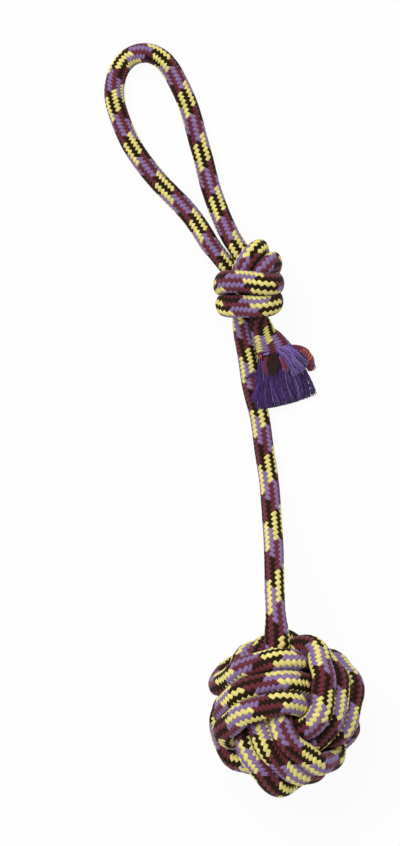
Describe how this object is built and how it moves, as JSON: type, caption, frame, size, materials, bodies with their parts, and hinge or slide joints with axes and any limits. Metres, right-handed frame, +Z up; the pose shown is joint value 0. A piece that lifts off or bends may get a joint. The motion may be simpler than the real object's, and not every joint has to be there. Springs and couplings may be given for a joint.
{
  "type": "rope dog toy",
  "caption": "Throw-and-tug rope toy: a braided rope wound into a monkey's-fist ball at one end, doubled back into an overhand knot and a hand loop at the other, with a frayed tail.",
  "frame": {"origin": "centre of the toy's bounding box, on the surface that it lies on", "axes": "+Y from the ball to the hand loop, +Z up from the surface that it lies on, +X to the side of the frayed tail"},
  "size_m": [0.1641, 0.476, 0.0972],
  "materials": {
    "braided_rope": "matt braid of yellow, black, maroon and lavender yarns",
    "core_rubber": "matt",
    "core_yarn": "matt loose purple yarn",
    "lavender_yarn": "matt loose yarn",
    "maroon_yarn": "matt loose yarn",
    "orange_yarn": "matt twisted yarn"
  },
  "bodies": {
    "ball": {"ball_core": "core_rubber", "ball_turns": "braided_rope"},
    "rope_lower": {"neck_bend": "braided_rope", "lower_rope": "braided_rope"},
    "rope_middle": {"fold_bend": "braided_rope", "middle_rope": "braided_rope"},
    "knot": {"swing_bend": "braided_rope", "upper_rope": "braided_rope", "knot_first_strand": "braided_rope", "knot_second_strand": "braided_rope"},
    "handle": {"right_leg_bend": "braided_rope", "left_leg_bend": "braided_rope", "handle_loop": "braided_rope"},
    "tail": {"tail_bend": "braided_rope", "tail_sheath": "braided_rope", "core_fringe": "core_yarn", "lavender_yarns": "lavender_yarn", "maroon_yarns": "maroon_yarn", "orange_twist": "orange_yarn", "maroon_tuft": "maroon_yarn"}
  },
  "joints": [
    {"name": "neck_swing", "type": "hinge", "parent": "ball", "child": "rope_lower", "pos_m": [0.02591, -0.12221, 0.05957], "axis": [0, 0, 1], "range_deg": [-75, 75], "deforming": ["neck_bend"]},
    {"name": "rope_fold", "type": "hinge", "parent": "rope_lower", "child": "rope_middle", "pos_m": [0.02442, -0.07085, 0.02756], "axis": [0.9981, 0.0619, 0], "range_deg": [-90, 90], "deforming": ["fold_bend"]},
    {"name": "rope_swing", "type": "hinge", "parent": "rope_middle", "child": "knot", "pos_m": [0.01868, -0.01671, 0.00686], "axis": [0, 0, 1], "range_deg": [-75, 75], "deforming": ["swing_bend"]},
    {"name": "handle_fold", "type": "hinge", "parent": "knot", "child": "handle", "pos_m": [-0.01284, 0.11973, 0.01331], "axis": [0.8586, 0.5127, 0], "range_deg": [-90, 90], "deforming": ["right_leg_bend", "left_leg_bend"]},
    {"name": "tail_swing", "type": "hinge", "parent": "knot", "child": "tail", "pos_m": [0.01758, 0.05565, 0.02111], "axis": [0, 0, 1], "range_deg": [0, 55], "deforming": ["tail_bend"]}
  ]
}
